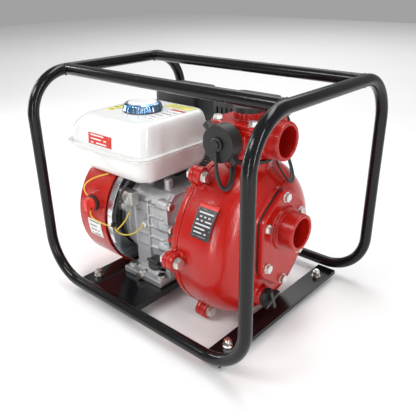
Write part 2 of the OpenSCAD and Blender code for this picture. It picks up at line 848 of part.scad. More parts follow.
module outlet_head() {
  color("#c01a1a")
    difference() {
      union() {
        translate([head_x, crank_y, head_base]) cylinder(r = 36, h = head_top - head_base);
        translate([head_x, crank_y, head_base]) cylinder(r = 41, h = 8);
        translate([head_x, crank_y, head_top - 8]) round_plate(92, 94, 14, 8);
        to_x([head_x, crank_y, head_z]) cylinder(r = port_r - 0.5, h = 46);
        to_x([head_x + 46, crank_y, head_z]) cylinder(r = port_r, h = head_tip - head_x - 46);
        to_x([head_x + 20, crank_y, head_z]) cylinder(r = 32.5, h = 28);
        for (s = [-1, 1]) {
          translate([head_x, crank_y, head_z]) rotate([-90 * s, 0, 0]) {
            cylinder(r = side_r, h = side_reach);
            cylinder(r = 28, h = side_reach - 23);
          }
        }
      }
      translate([head_x - 60, crank_y - 48, head_top]) cube([108, 96, 60]);
      to_x([head_x, crank_y, head_z]) cylinder(r = 24, h = 100);
      to_front([head_x, crank_y + 100, head_z]) cylinder(r = 19, h = 200);
      translate([head_x, crank_y, head_base - 5]) cylinder(r = 24.5, h = 80);
      for (p = head_bolts) {
        translate([head_x + p.x, crank_y + p.y, head_top - 20]) cylinder(r = 4.1, h = 30);
      }
    }
}

head_bolts = [[-34, -35], [34, -35], [34, 35], [-34, 35]];

module priming_flange() {
  color("#c01a1a")
    difference() {
      union() {
        translate([head_x, crank_y, head_top + 0.2]) round_plate(92, 94, 14, prime_t);
        translate([head_x, crank_y, head_top]) translate([0, 0, 0.2]) cylinder(r = neck_r, h = neck_top - head_top);
        for (a = [0:15:345]) {
          translate([head_x, crank_y, head_top + 2]) rotate([0, 0, a])
            translate([neck_r - 0.5, 0, 0]) cylinder(r = 1.6, h = neck_top - head_top - 2);
        }
      }
      translate([head_x, crank_y, head_top - 5]) cylinder(r = 19.4, h = 60);
      for (p = head_bolts) {
        translate([head_x + p.x, crank_y + p.y, head_top - 1]) cylinder(r = 4.4, h = 30);
      }
    }
}

module pump_bolts() {
  color("#c9ccd0") {
    for (a = lug_angles()) {
      translate([0, crank_y + lug_circle * cos(a), casing_z + lug_circle * sin(a)]) {
        to_x([lug_x1, 0, 0]) hex_bolt(10, lug_x1 - lug_x0 + 10);
        to_left([lug_x0, 0, 0]) hex_nut(10);
      }
    }
    for (p = cover_bolts) {
      to_x([front_x + gasket_t + cover_t, crank_y + p.x, cover_z + p.y]) hex_bolt(8, 26);
    }
    for (p = head_bolts) {
      translate([head_x + p.x, crank_y + p.y, head_top + prime_t + 0.2]) hex_bolt(8, 18);
    }
  }
}

module engine_fasteners() {
  color("#c9ccd0") {
    for (p = engine_holes()) {
      translate([p.x, p.y, plate_z + 12]) hex_bolt(8, 20);
      translate([p.x, p.y, plate_z - plate_t - 6.4]) hex_nut(8);
    }
    for (z = cover_bolt_z) {
      to_x([case_x1 + 12, crank_y - 70, crank_z + z]) hex_bolt(8, 2);
    }
    to_front([case_x0 + 30, crank_y - 95, plate_z + 9]) hex_bolt(8, 12);
    to_front([-90, crank_y - 94, crank_z + 58]) hex_bolt(6, 14);
    to_front([case_x0 + 36, crank_y - 80, crank_z + 6]) cylinder(r = 6, h = 4, $fn = 6);
    for (x = [-88, -40]) {
      translate([x, crank_y - 40, crank_z + 50]) cylinder(r = 3, h = 8);
    }
  }
}

// Rubber ring round the neck of the casing that holds the straps
module neck_rings() {
  color("#121212") translate([head_x, crank_y, head_base - 7]) ring(41.5, 38.3, 5.5);
}

module seal_ring_form() {
  color("#2b2b2b") to_x([joint_x + 0.1, crank_y, crank_z]) ring(20, shaft_r - 0.5, 9);
}

// ---- turning parts -------------------------------------------------------

module crankshaft() {
  color("#a5a9ad") {
    to_x([-186, crank_y, crank_z]) cylinder(r = shaft_r, h = 186 + 66);
    to_x([66, crank_y, crank_z]) cylinder(r = 9, h = 40);
    for (x = [-86, -64]) {
      to_x([x, crank_y, crank_z]) cylinder(r = 34, h = 10);
    }
    to_x([-77, crank_y, crank_z + 20]) cylinder(r = 11, h = 14);
    to_x([-42, crank_y, crank_z]) cylinder(r = crank_gear_r, h = 10);
  }
}

module flywheel() {
  color("#6e7276")
    difference() {
      union() {
        to_left([-122, crank_y, crank_z]) cylinder(r = fly_r - 4, h = 18, $fn = 96);
        to_left([-122, crank_y, crank_z]) cylinder(r = 26, h = 50);
        for (a = [0:24:336]) {
          translate([-140, crank_y, crank_z]) rotate([a, 0, 0])
            translate([-24, 52, -1.5]) cube([26, 28, 3]);
        }
      }
      to_left([-100, crank_y, crank_z]) cylinder(r = shaft_r + 0.01, h = 100);
    }
}

module impeller() {
  x0 = joint_x + 10;
  color("#b08d4a")
    difference() {
      union() {
        to_x([x0, crank_y, crank_z]) cylinder(r = impeller_r, h = 4);
        to_x([x0, crank_y, crank_z]) cylinder(r = 17, h = 16);
        for (a = [0:60:300]) {
          translate([x0 + 3, crank_y, crank_z]) rotate([a, 0, 0])
            translate([0, 0, 14]) intersection() {
              to_x([0, 36, 10]) ring(40, 36.5, 12);
              translate([0, -8, -2]) cube([12, 40, 52]);
            }
        }
        to_x([x0 + 14, crank_y, crank_z]) ring(impeller_r, 22, 3);
      }
      to_x([x0 - 1, crank_y, crank_z]) cylinder(r = 9.01, h = 60);
    }
  seal_ring_form();
}

module camshaft() {
  color("#8a8e92") {
    to_x([case_x0 + case_wall + gap, crank_y, crank_z - cam_drop])
      cylinder(r = 6, h = case_x1 - case_x0 - 9);
    to_x([-41, crank_y, crank_z - cam_drop]) cylinder(r = 2 * crank_gear_r, h = 8);
    for (x = [-76, -58]) {
      to_x([x, crank_y, crank_z - cam_drop - 1.5]) cylinder(r = 7, h = 7);
    }
  }
}

module recoil_pulley() {
  color("#303234")
    difference() {
      to_left([fan_x0 - 6, crank_y, crank_z])
        rotate_extrude($fn = 64)
          polygon([[8, 0], [pulley_r, 0], [pulley_r, 2], [pulley_r - 6, 4], [pulley_r - 6, 9],
            [pulley_r, 11], [pulley_r, 13], [8, 13]]);
      to_left([fan_x0, crank_y, crank_z]) cylinder(r = 8, h = 30);
    }
}

module starter_handle() {
  y0 = crank_y + 80;
  color("#151515")
    difference() {
      union() {
        translate([handle_x, y0 + 18, handle_z - 42]) round_plate(16, 20, 7, 84);
        to_front([handle_x, y0 + 12, handle_z]) cylinder(r = 7, h = 8);
      }
      to_back([handle_x, y0 - 4, handle_z]) cylinder(r = 2.2, h = 40);
    }
  color("#e4e0d2")
    to_back([handle_x, crank_y + 40, handle_z]) cylinder(r = 2, h = 62);
}

module switch_knob() {
  y0 = crank_y - 127.6;
  color("#d8261f") {
    to_front([switch_x, y0, switch_z]) cylinder(r = 12, h = 6);
    translate([switch_x - 4, y0 - 15, switch_z - 11]) cube([8, 10, 22]);
    to_back([switch_x, y0 - 1, switch_z]) cylinder(r = 3, h = 20);
  }
}

module throttle_lever() {
  color("#202020") {
    translate([-66, 26, 214]) cylinder(r = 9, h = 3);
    translate([-69, -8, 214]) cube([6, 34, 3]);
    translate([-66, -8, 214]) cylinder(r = 5, h = 10);
  }
}

module flap_valve() {
  color("#1d1d1d")
    to_x([front_x - 3.5, crank_y, port_z]) cylinder(r = 22, h = 3);
  color("#1d1d1d")
    to_front([front_x - 2, crank_y + 9, port_z + 22.4]) cylinder(r = 2, h = 18);
}

// ---- screw closures ------------------------------------------------------

// A cup cap that stands on its open end, with two ears and a pin for the strap
module outlet_cap_form() {
  wall = 5;
  difference() {
    union() {
      cylinder(r = 29, h = cap_len, $fn = 64);
      rotate([0, 0, -42]) translate([-40, -4.5, 8]) cube([80, 9, 12]);
      translate([0, 0, cap_len]) cylinder(r = 5, h = 5.2);
      translate([0, 0, cap_len + 5]) cylinder(r = 7.5, h = 3);
    }
    translate([0, 0, -1]) cylinder(r = side_r + 0.4, h = cap_len - wall + 1);
  }
}

// The flat strap that hangs from the cap's pin and reaches the neck
module strap_form() {
  translate([0, 0, cap_len + 0.8]) ring(10.5, 5.4, 3.6);
}

module front_place() { to_front([head_x, crank_y - side_reach + 17, head_z]) rotate([0, 0, 0]) children(); }
module rear_place() { to_back([head_x, crank_y + side_reach - 17, head_z]) children(); }

module front_outlet_cap() { color("#161617") front_place() outlet_cap_form(); }
module rear_outlet_cap() { color("#161617") rear_place() outlet_cap_form(); }
module front_cap_gasket() { color("#0d0d0d") front_place() translate([0, 0, 17]) ring(23.4, 19.5, 2); }
module rear_cap_gasket() { color("#0d0d0d") rear_place() translate([0, 0, 17]) ring(23.4, 19.5, 2); }

module front_strap() {
  y0 = crank_y - side_reach + 17 - cap_len - 2.6;
  color("#121212") {
    front_place() strap_form();
    sweep(curve([head_x, y0, head_z - 13.5], [head_x + 2, y0 - 8, head_z - 70],
      [head_x + 44, y0 - 17, head_z - 82], [head_x + 5, crank_y - 45, head_z - 38], 16), 2.6);
  }
}

module rear_strap() {
  y0 = crank_y + side_reach - 17 + cap_len + 2.6;
  color("#121212") {
    rear_place() strap_form();
    sweep(curve([head_x + 2, y0, head_z - 13.5], [head_x + 44, y0 + 8, head_z - 88],
      [head_x + 90, y0 - 72, head_z - 98], [head_x + 43, crank_y + 14, head_z - 37], 16), 2.6);
  }
}

module priming_gasket() {
  color("#0d0d0d") translate([head_x, crank_y, neck_top + 0.4]) ring(25, 19.5, 2);
}

module priming_plug() {
  z0 = neck_top + 2.5;
  color("#141414") {
    translate([head_x, crank_y, z0 - 16]) cylinder(r = 19, h = 16.5);
    translate([head_x, crank_y, z0]) cylinder(r = 25.5, h = 6);
    translate([head_x - 22, crank_y - 5, z0 + 5.5]) cube([44, 10, 7]);
  }
}

module drain_gasket() {
  color("#0d0d0d") to_x([drain_x + 0.2, drain_y, drain_z]) ring(15, 9.4, 2);
}

module drain_plug() {
  x0 = drain_x + 2.4;
  color("#141414") {
    to_x([x0 - 16, drain_y, drain_z]) cylinder(r = 9, h = 17);
    to_x([x0, drain_y, drain_z]) cylinder(r = 16, h = 7);
    for (a = [20, 110]) {
      translate([x0 + 6, drain_y, drain_z]) rotate([a, 0, 0])
        translate([0, -19, -3]) cube([9, 38, 6]);
    }
  }
}

module dipstick() {
  color("#161616")
    translate([dip_x, dip_y + 20, dip_z - 20]) rotate([dip_tilt, 0, 0]) {
      translate([0, 0, 8]) cylinder(r = 9, h = 19);
      translate([0, 0, 26.3]) cylinder(r = 15, h = 5);
      translate([-13, -3, 31]) cube([26, 6, 9]);
      translate([0, 0, -16]) cylinder(r = 3, h = 26);
    }
}

// ---- the whole object ----------------------------------------------------

left_hoop();
right_hoop();
top_rails();
cross_members();
engine_base_plate();
rubber_feet();
foot_bolts();
crankcase();
crankcase_cover();
cylinder_barrel();
cylinder_head();
rocker_cover();
blower_housing();
recoil_cover();
air_shroud();
oil_alert_unit();
wiring_harness();
ignition_coil();
spark_plug();
carburettor();
air_cleaner_base();
air_cleaner_cover();
muffler();
muffler_guard();
fuel_tank_upper();
fuel_tank_lower();
fuel_hose();
engine_fasteners();
switch_base();
pump_adapter();
volute_casing();
inner_volute();
suction_gasket();
suction_cover();
outlet_head();
priming_flange();
pump_bolts();
seal_seat();
neck_rings();
crankshaft();
flywheel();
impeller();
camshaft();
recoil_pulley();
starter_handle();
switch_knob();
throttle_lever();
flap_valve();
tank_cap();
front_cap_gasket();
front_strap();
front_outlet_cap();
rear_cap_gasket();
rear_strap();
rear_outlet_cap();
priming_gasket();
priming_plug();
drain_gasket();
drain_plug();
dipstick();
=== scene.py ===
import bpy
import bmesh
import json
import random
from math import sin, cos, pi, radians, atan2, sqrt
from mathutils import Matrix, Vector


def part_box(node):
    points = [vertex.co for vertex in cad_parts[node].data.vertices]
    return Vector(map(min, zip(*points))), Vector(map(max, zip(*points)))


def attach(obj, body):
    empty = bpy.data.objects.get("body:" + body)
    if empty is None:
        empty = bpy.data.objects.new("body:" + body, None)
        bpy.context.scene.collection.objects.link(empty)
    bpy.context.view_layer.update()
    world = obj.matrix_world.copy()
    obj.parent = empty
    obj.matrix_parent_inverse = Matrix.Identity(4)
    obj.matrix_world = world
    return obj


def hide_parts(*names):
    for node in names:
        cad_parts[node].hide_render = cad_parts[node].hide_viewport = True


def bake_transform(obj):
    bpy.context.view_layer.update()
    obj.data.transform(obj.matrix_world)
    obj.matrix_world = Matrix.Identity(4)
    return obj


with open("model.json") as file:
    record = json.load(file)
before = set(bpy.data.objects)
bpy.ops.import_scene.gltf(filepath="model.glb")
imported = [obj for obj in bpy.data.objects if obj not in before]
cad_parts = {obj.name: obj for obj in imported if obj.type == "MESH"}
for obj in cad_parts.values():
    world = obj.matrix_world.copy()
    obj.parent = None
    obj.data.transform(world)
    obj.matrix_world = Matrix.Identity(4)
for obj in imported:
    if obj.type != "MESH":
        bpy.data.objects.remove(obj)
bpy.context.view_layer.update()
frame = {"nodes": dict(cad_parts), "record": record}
nodes = frame["nodes"]
bodyOfNode = {n: b for b, ns in frame["record"]["behaviour"]["bodies"].items() for n in ns}
random.seed(7)


# ---- camera and light ----

view = {
    "place": (0.57726, -0.64518, 0.55486),
    "azimuth": radians(41.547),
    "elevation": radians(24.366),
    "roll": -0.01308,
    "lens": 44.27,
}


def makeCamera():
    az, el, roll = view["azimuth"], view["elevation"], view["roll"]
    back = Vector((sin(az) * cos(el), -cos(az) * cos(el), sin(el)))
    right = Vector((cos(az), sin(az), 0))
    up = back.cross(right)
    sideways = right * cos(roll) + up * sin(roll)
    upright = up * cos(roll) - right * sin(roll)
    cam = bpy.data.objects.new("camera", bpy.data.cameras.new("camera"))
    turn = Matrix((sideways, upright, back)).transposed().to_4x4()
    cam.matrix_world = Matrix.Translation(view["place"]) @ turn
    cam.data.lens = view["lens"]
    cam.data.sensor_width = 36
    cam.data.clip_start = 0.02
    bpy.context.scene.collection.objects.link(cam)
    bpy.context.scene.camera = cam


lamps = [  # name, place, aimed at, size, power
    ("key", (-0.55, -1.5, 1.55), (0, 0, 0.2), (1.0, 0.45), 17),
    ("side", (1.7, -0.35, 0.8), (0, 0, 0.2), (0.12, 1.3), 12),
    ("top", (0.1, 0.2, 1.9), (0, 0, 0.1), (1.3, 0.5), 15),
    ("left", (-1.6, -0.5, 0.7), (0, 0, 0.2), (0.14, 1.2), 11),
    ("far", (-1.6, 2.4, 2.6), (-1.6, 2.6, 0), (3.0, 3.0), 60),
    ("low", (0.75, -1.6, 0.35), (0.05, 0, 0.18), (0.09, 0.9), 6),
]


def makeLights():
    for name, place, aim, size, power in lamps:
        lamp = bpy.data.lights.new(name, "AREA")
        lamp.shape = "RECTANGLE"
        lamp.size, lamp.size_y = size
        lamp.energy = power
        o = bpy.data.objects.new(name, lamp)
        look = Vector(place) - Vector(aim)
        o.matrix_world = Matrix.Translation(place) @ look.to_track_quat("Z", "Y").to_matrix().to_4x4()
        bpy.context.scene.collection.objects.link(o)
    world = bpy.data.worlds.new("studio")
    world.use_nodes = True
    world.node_tree.nodes["Background"].inputs[0].default_value = (1, 1, 1, 1)
    world.node_tree.nodes["Background"].inputs[1].default_value = 0.36
    bpy.context.scene.world = world
    bpy.context.scene.view_settings.view_transform = "Standard"


# ---- shader helpers ----


class Val:
    def __init__(self, mat, socket):
        self.mat, self.socket = mat, socket

    def maths(self, op, *others):
        return self.mat.add("Math", {"operation": op}, [self, *others])

    def __add__(self, o):
        return self.maths("ADD", o)

    def __sub__(self, o):
        return self.maths("SUBTRACT", o)

    def __mul__(self, o):
        return self.maths("MULTIPLY", o)

    def __gt__(self, o):
        return self.maths("GREATER_THAN", o)

    def __lt__(self, o):
        return self.maths("LESS_THAN", o)


class Finish:
    def __init__(self, name):
        self.mat = bpy.data.materials.new(name)
        self.mat.use_nodes = True
        self.tree = self.mat.node_tree
        self.bsdf = self.tree.nodes["Principled BSDF"]
        self.place = Val(self, self.tree.nodes.new("ShaderNodeTexCoord").outputs["Object"])

    def add(self, kind, settings=None, values=(), out=0):
        node = self.tree.nodes.new("ShaderNode" + kind)
        for key, value in (settings or {}).items():
            if key == "stops":
                ramp = node.color_ramp.elements
                for i, (at, grey) in enumerate(value):
                    stop = ramp[i] if i < 2 else ramp.new(at)
                    stop.position = at
                    stop.color = (grey, grey, grey, 1) if isinstance(grey, (int, float)) else (*grey, 1)
            else:
                setattr(node, key, value)
        pairs = values.items() if isinstance(values, dict) else enumerate(values)
        for key, value in pairs:
            self.feed(node.inputs[key], value)
        return Val(self, node.outputs[out])

    def feed(self, socket, value):
        if isinstance(value, Val):
            self.tree.links.new(value.socket, socket)
        elif isinstance(value, tuple) and len(value) == 3 and socket.type == "RGBA":
            socket.default_value = (*value, 1)
        else:
            socket.default_value = value

    def noise(self, scale, detail=3.0, rough=0.5, where=None):
        return self.add("TexNoise", None, {"Vector": where or self.place, "Scale": scale,
                                           "Detail": detail, "Roughness": rough})

    def ramp(self, value, *stops):
        return self.add("ValToRGB", {"stops": stops}, [value])

    def blendColour(self, mask, a, b):
        return self.add("Mix", {"data_type": "RGBA"}, {0: mask, 6: a, 7: b}, 2)

    def axis(self, index, where=None):
        return self.add("SeparateXYZ", None, [where or self.place], index)

    def bump(self, height, strength, depth):
        return self.add("Bump", None, {"Height": height, "Strength": strength, "Distance": depth})

    def use(self, **sockets):
        for key, value in sockets.items():
            self.feed(self.bsdf.inputs[key.replace("_", " ")], value)
        return self.mat


# ---- finishes ----


def enamel(name, colour, dark, rough, grain, depth, coat=0.5, shine=0.5):
    f = Finish(name)
    cloud = f.noise(9.0, 4.0)
    skin = f.noise(grain, 2.0)
    scuff = f.ramp(f.noise(55.0, 6.0, 0.65), (0.60, 0.0), (0.72, 1.0))
    return f.use(Base_Color=f.blendColour(cloud, colour, dark),
                 Roughness=cloud * 0.06 + scuff * 0.07 + rough,
                 Normal=f.bump(skin, 0.35, depth), Coat_Weight=coat, Coat_Roughness=0.06,
                 Specular_IOR_Level=shine)


def castMetal(name, colour, dark, metallic, rough, grain, depth):
    f = Finish(name)
    cloud = f.noise(14.0, 5.0, 0.6)
    sand = f.noise(grain, 4.0, 0.7)
    return f.use(Base_Color=f.blendColour(f.ramp(cloud, (0.3, 0.0), (0.75, 1.0)), colour, dark),
                 Metallic=metallic, Roughness=sand * 0.18 + rough,
                 Normal=f.bump(sand, 0.5, depth))


def plated(name, colour, tint, rough):
    f = Finish(name)
    cloud = f.noise(70.0, 4.0)
    fine = f.noise(900.0, 2.0)
    return f.use(Base_Color=f.blendColour(f.ramp(cloud, (0.35, 0.0), (0.7, 1.0)), colour, tint),
                 Metallic=1.0, Roughness=cloud * 0.16 + rough, Normal=f.bump(fine, 0.25, 0.0001))


def moulded(name, colour, dark, rough, grain, depth, coat=0.0):
    f = Finish(name)
    cloud = f.noise(20.0, 3.0)
    leather = f.noise(grain, 5.0, 0.6)
    return f.use(Base_Color=f.blendColour(cloud, colour, dark), Roughness=cloud * 0.1 + rough,
                 Normal=f.bump(leather, 0.4, depth), Coat_Weight=coat)


def turned(name, colour, rough):
    f = Finish(name)
    rings = f.noise(1.0, 6.0, 0.7, f.add("Mapping", None, {"Vector": f.place, "Scale": (1800, 60, 60)}))
    return f.use(Base_Color=f.blendColour(rings, colour, tuple(c * 0.75 for c in colour)),
                 Metallic=1.0, Roughness=rings * 0.15 + rough, Normal=f.bump(rings, 0.3, 0.0002))


def printed(name, ground, ink, band, rows, bandTo):
    # rows of short generic bars on a sticker, below a coloured band
    f = Finish(name)
    uv = f.add("TexCoord", None, (), 2)
    u, v = f.axis(0, uv), f.axis(1, uv)
    row = (v * rows).maths("FLOOR")
    inRow = (v * rows).maths("FRACT")
    height = (inRow > 0.34) * (inRow < 0.70)
    words = f.add("TexWhiteNoise", {"noise_dimensions": "2D"},
                  {"Vector": f.add("CombineXYZ", None, [(u * 9.0).maths("FLOOR"), row, 0.0])})
    inside = (u > 0.1) * (u < 0.9) * (v > 0.07) * (v < bandTo - 0.04)
    bars = height * inside * (words > 0.34)
    top = v > bandTo
    colour = f.blendColour(bars, ground, ink)
    wear = f.noise(60.0, 5.0)
    return f.use(Base_Color=f.blendColour(top, colour, band), Roughness=wear * 0.2 + 0.28,
                 Normal=f.bump(bars, 0.2, 0.0001))


red, deepRed = (0.47, 0.009, 0.004), (0.36, 0.005, 0.003)
finishes = {
    "frame": enamel("black enamel", (0.004, 0.004, 0.005), (0.007, 0.007, 0.008), 0.12, 420, 0.0003,
                    0.0, 0.32),
    "red_cast": enamel("red cast paint", red, deepRed, 0.20, 330, 0.0009, 0.12, 0.42),
    "red_sheet": enamel("red sheet paint", (0.50, 0.012, 0.005), (0.42, 0.008, 0.004), 0.20, 500, 0.0003,
                        0.15, 0.42),
    "foot_rubber": moulded("foot rubber", (0.018, 0.018, 0.018), (0.03, 0.03, 0.03), 0.6, 500, 0.0004),
    "zinc": plated("zinc plate", (0.78, 0.79, 0.80), (0.66, 0.64, 0.55), 0.22),
    "cast_alloy": castMetal("cast alloy", (0.60, 0.61, 0.62), (0.42, 0.43, 0.45), 0.75, 0.34, 420, 0.0010),
    "bright_sheet": plated("bright sheet", (0.82, 0.84, 0.87), (0.70, 0.72, 0.76), 0.12),
    "black_plastic": moulded("black plastic", (0.007, 0.007, 0.007), (0.012, 0.012, 0.012), 0.40, 650,
                             0.0006),
    "white_plastic": moulded("white tank", (0.86, 0.865, 0.85), (0.80, 0.81, 0.80), 0.17, 90, 0.0006, 0.35),
    "red_plastic": moulded("red plastic", (0.80, 0.045, 0.025), (0.68, 0.03, 0.02), 0.28, 500, 0.0002, 0.3),
    "blue_cap": plated("blue film", (0.07, 0.23, 0.50), (0.52, 0.66, 0.82), 0.14),
    "hot_black": moulded("hot black", (0.022, 0.023, 0.022), (0.045, 0.046, 0.045), 0.42, 700, 0.0004),
    "hose_rubber": moulded("hose rubber", (0.014, 0.014, 0.014), (0.022, 0.022, 0.022), 0.40, 300, 0.0003),
    "wire": moulded("yellow wire", (0.83, 0.62, 0.06), (0.74, 0.52, 0.05), 0.34, 300, 0.0001, 0.3),
    "thread_white": moulded("white porcelain", (0.85, 0.85, 0.82), (0.78, 0.78, 0.75), 0.2, 200, 0.0001, 0.5),
    "iron": castMetal("grey iron", (0.34, 0.35, 0.36), (0.22, 0.23, 0.24), 0.8, 0.4, 500, 0.0006),
    "steel": turned("ground steel", (0.60, 0.61, 0.63), 0.24),
    "bronze": castMetal("bronze", (0.62, 0.42, 0.18), (0.44, 0.30, 0.14), 0.95, 0.3, 500, 0.0004),
    "ceramic": moulded("ceramic", (0.82, 0.80, 0.74), (0.76, 0.74, 0.70), 0.3, 400, 0.0001),
}
connectorWhite = moulded("connector white", (0.84, 0.84, 0.82), (0.76, 0.76, 0.74), 0.35, 400, 0.0002)
slotOf = {s["node"]: s["material_slot"] for s in frame["record"]["subparts"]}


def paint(o, material):
    o.data.materials.clear()
    o.data.materials.append(material)


# ---- piece helpers ----


def newPiece(name, bm, material, body, slot, smooth=40.0, stands=()):
    # stands names the CAD nodes that the piece takes the place of
    mesh = bpy.data.meshes.new(name)
    bmesh.ops.recalc_face_normals(bm, faces=bm.faces)
    bm.to_mesh(mesh)
    bm.free()
    o = bpy.data.objects.new(name, mesh)
    bpy.context.scene.collection.objects.link(o)
    mesh.polygons.foreach_set("use_smooth", [True] * len(mesh.polygons))
    mesh.set_sharp_from_angle(angle=radians(smooth))
    paint(o, material)
    if body:
        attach(o, body)
    if stands:
        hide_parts(*stands)
    return o


def merged(name):  # a CAD node's mesh with its doubles merged and its flats made whole
    bm = bmesh.new()
    bm.from_mesh(nodes[name].data)
    bmesh.ops.remove_doubles(bm, verts=bm.verts, dist=1e-5)
    bmesh.ops.dissolve_limit(bm, angle_limit=radians(0.8), verts=bm.verts, edges=bm.edges)
    return bm


def applied(o):  # the object's mesh with its modifiers carried out
    deps = bpy.context.evaluated_depsgraph_get()
    mesh = bpy.data.meshes.new_from_object(o.evaluated_get(deps))
    o.modifiers.clear()
    o.data = mesh


def softEdges(name, width):
    # a copy of a CAD node with its sharp edges rounded over
    slot = slotOf[name]
    o = newPiece(name + "_cover", merged(name), finishes[slot], bodyOfNode[name], slot, stands=(name,))
    if width:
        b = o.modifiers.new("edges", "BEVEL")
        b.width = width
        b.segments = 2
        b.limit_method = "ANGLE"
        b.angle_limit = radians(38)
        b.use_clamp_overlap = True
        b.harden_normals = False
    return o


def castForm(name, voxel, rounds):
    # a copy of a cast CAD node with fillets at its edges and corners
    bm = bmesh.new()
    bm.from_mesh(nodes[name].data)
    bmesh.ops.remove_doubles(bm, verts=bm.verts, dist=1e-5)
    o = newPiece(name + "_cast", bm, finishes[slotOf[name]], bodyOfNode[name], slotOf[name], stands=(name,))
    r = o.modifiers.new("skin", "REMESH")
    r.mode = "VOXEL"
    r.voxel_size = voxel
    s = o.modifiers.new("fillets", "SMOOTH")
    s.factor = 0.5
    s.iterations = rounds
    applied(o)
    paint(o, finishes[slotOf[name]])
    o.data.polygons.foreach_set("use_smooth", [True] * len(o.data.polygons))
    return o


def spun(profile, axis, centre, steps):
    # spins an open or closed row of points about an axis through centre
    bm = bmesh.new()
    verts = [bm.verts.new(p) for p in profile]
    edges = [bm.edges.new((a, b)) for a, b in zip(verts, verts[1:])]
    bmesh.ops.spin(bm, geom=verts + edges, cent=centre, axis=axis, dvec=(0, 0, 0), angle=2 * pi,
                   steps=steps, use_merge=True, use_duplicate=False)
    bmesh.ops.remove_doubles(bm, verts=bm.verts, dist=1e-6)
    return bm


# ---- plain pieces: every CAD node gets its finish, and most get soft edges ----

softNodes = {  # node: edge radius
    "engine_base_plate": 0.0008, "cross_members": 0.0008, "rubber_feet": 0.001, "foot_bolts": 0.0005,
    "crankcase_cover": 0.0012, "cylinder_barrel": 0.0004, "cylinder_head": 0.0006,
    "rocker_cover": 0.002, "blower_housing": 0.003, "recoil_cover": 0.001, "air_shroud": 0.0008,
    "oil_alert_unit": 0.0009, "ignition_coil": 0.0008, "spark_plug": 0.0, "carburettor": 0.0012,
    "air_cleaner_base": 0.001, "air_cleaner_cover": 0.004, "muffler": 0.004, "muffler_guard": 0.0006,
    "engine_fasteners": 0.0005, "switch_base": 0.001, "suction_gasket": 0.0, "pump_bolts": 0.0005,
    "neck_rings": 0.0011, "flywheel": 0.0006, "impeller": 0.0005, "inner_volute": 0.001,
    "starter_handle": 0.003, "switch_knob": 0.0018, "throttle_lever": 0.0006, "priming_plug": 0.0012,
    "drain_plug": 0.0012, "dipstick": 0.0012, "front_outlet_cap": 0.0014, "rear_outlet_cap": 0.0014,
    "fuel_hose": 0.0, "left_hoop": 0.0, "right_hoop": 0.0, "top_rails": 0.0,
}
castNodes = {  # node: grain of the remesh, smoothing rounds
    "volute_casing": (0.0018, 9), "suction_cover": (0.0012, 7), "outlet_head": (0.0012, 7),
    "pump_adapter": (0.0018, 6), "crankcase": (0.0016, 4), "priming_flange": (0.0010, 3),
}


def makePlainPieces():
    for name, o in nodes.items():
        paint(o, finishes[slotOf[name]])
    for name, width in softNodes.items():
        softEdges(name, width)
    for name, (grain, rounds) in castNodes.items():
        castForm(name, grain, rounds)
    print("plain and cast pieces done")


# ---- fuel tank ----

tank = {"rim": 0.279, "top": 0.335, "floor": 0.228, "rimCorner": 0.030,
        "capAt": (-0.120, -0.033), "dish": 0.038, "dishDepth": 0.006, "dishSlope": 0.006}
tankLevels = {  # height, then how far in from the rim: left, right, front and back; corner radius
    "upper": ((0.2792, 0.008, 0.008, 0.008, 0.026), (0.292, 0.0085, 0.0085, 0.0085, 0.027),
              (0.305, 0.010, 0.0095, 0.010, 0.028), (0.316, 0.017, 0.0105, 0.012, 0.029),
              (0.325, 0.030, 0.012, 0.0145, 0.028), (0.331, 0.041, 0.0145, 0.018, 0.026),
              (0.3342, 0.049, 0.0185, 0.0235, 0.023), (0.335, 0.056, 0.024, 0.030, 0.018)),
    "lower": ((0.2788, 0.008, 0.008, 0.008, 0.026), (0.262, 0.009, 0.009, 0.010, 0.027),
              (0.247, 0.011, 0.0105, 0.013, 0.028), (0.238, 0.0145, 0.013, 0.017, 0.028),
              (0.232, 0.020, 0.018, 0.022, 0.026), (0.229, 0.027, 0.025, 0.029, 0.022),
              (0.228, 0.036, 0.034, 0.038, 0.016)),
}


def eased(levels, steps):  # more levels between the given ones, on a smooth curve
    rows = []
    for i in range(len(levels) - 1):
        a, b = levels[max(i - 1, 0)], levels[i]
        c, d = levels[i + 1], levels[min(i + 2, len(levels) - 1)]
        for k in range(steps):
            t = k / steps
            rows.append([0.5 * (2 * q + (r - p) * t + (2 * p - 5 * q + 4 * r - s) * t * t
                                + (3 * q - p - 3 * r + s) * t ** 3) for p, q, r, s in zip(a, b, c, d)])
    return rows + [list(levels[-1])]


def tankShell(levels, low, high, corner=8):
    # rounded rectangles bridged one above the other, and closed at both ends
    bm = bmesh.new()
    rings = []
    for z, left, right, ends, r in eased(levels, 4):
        box = (low[0] + left + r, low[1] + ends + r, high[0] - right - r, high[1] - ends - r)
        ring = []
        for i, (x, y) in enumerate(((box[2], box[3]), (box[0], box[3]), (box[0], box[1]), (box[2], box[1]))):
            for k in range(corner + 1):
                a = radians(90) * (i + k / corner)
                ring.append(bm.verts.new((x + r * cos(a), y + r * sin(a), z)))
        rings.append([bm.edges.new(pair) for pair in zip(ring, ring[1:] + ring[:1])])
    for below, above in zip(rings, rings[1:]):
        bmesh.ops.bridge_loops(bm, edges=below + above)
    for ring in (rings[0], rings[-1]):
        bmesh.ops.contextual_create(bm, geom=ring)
    return bm


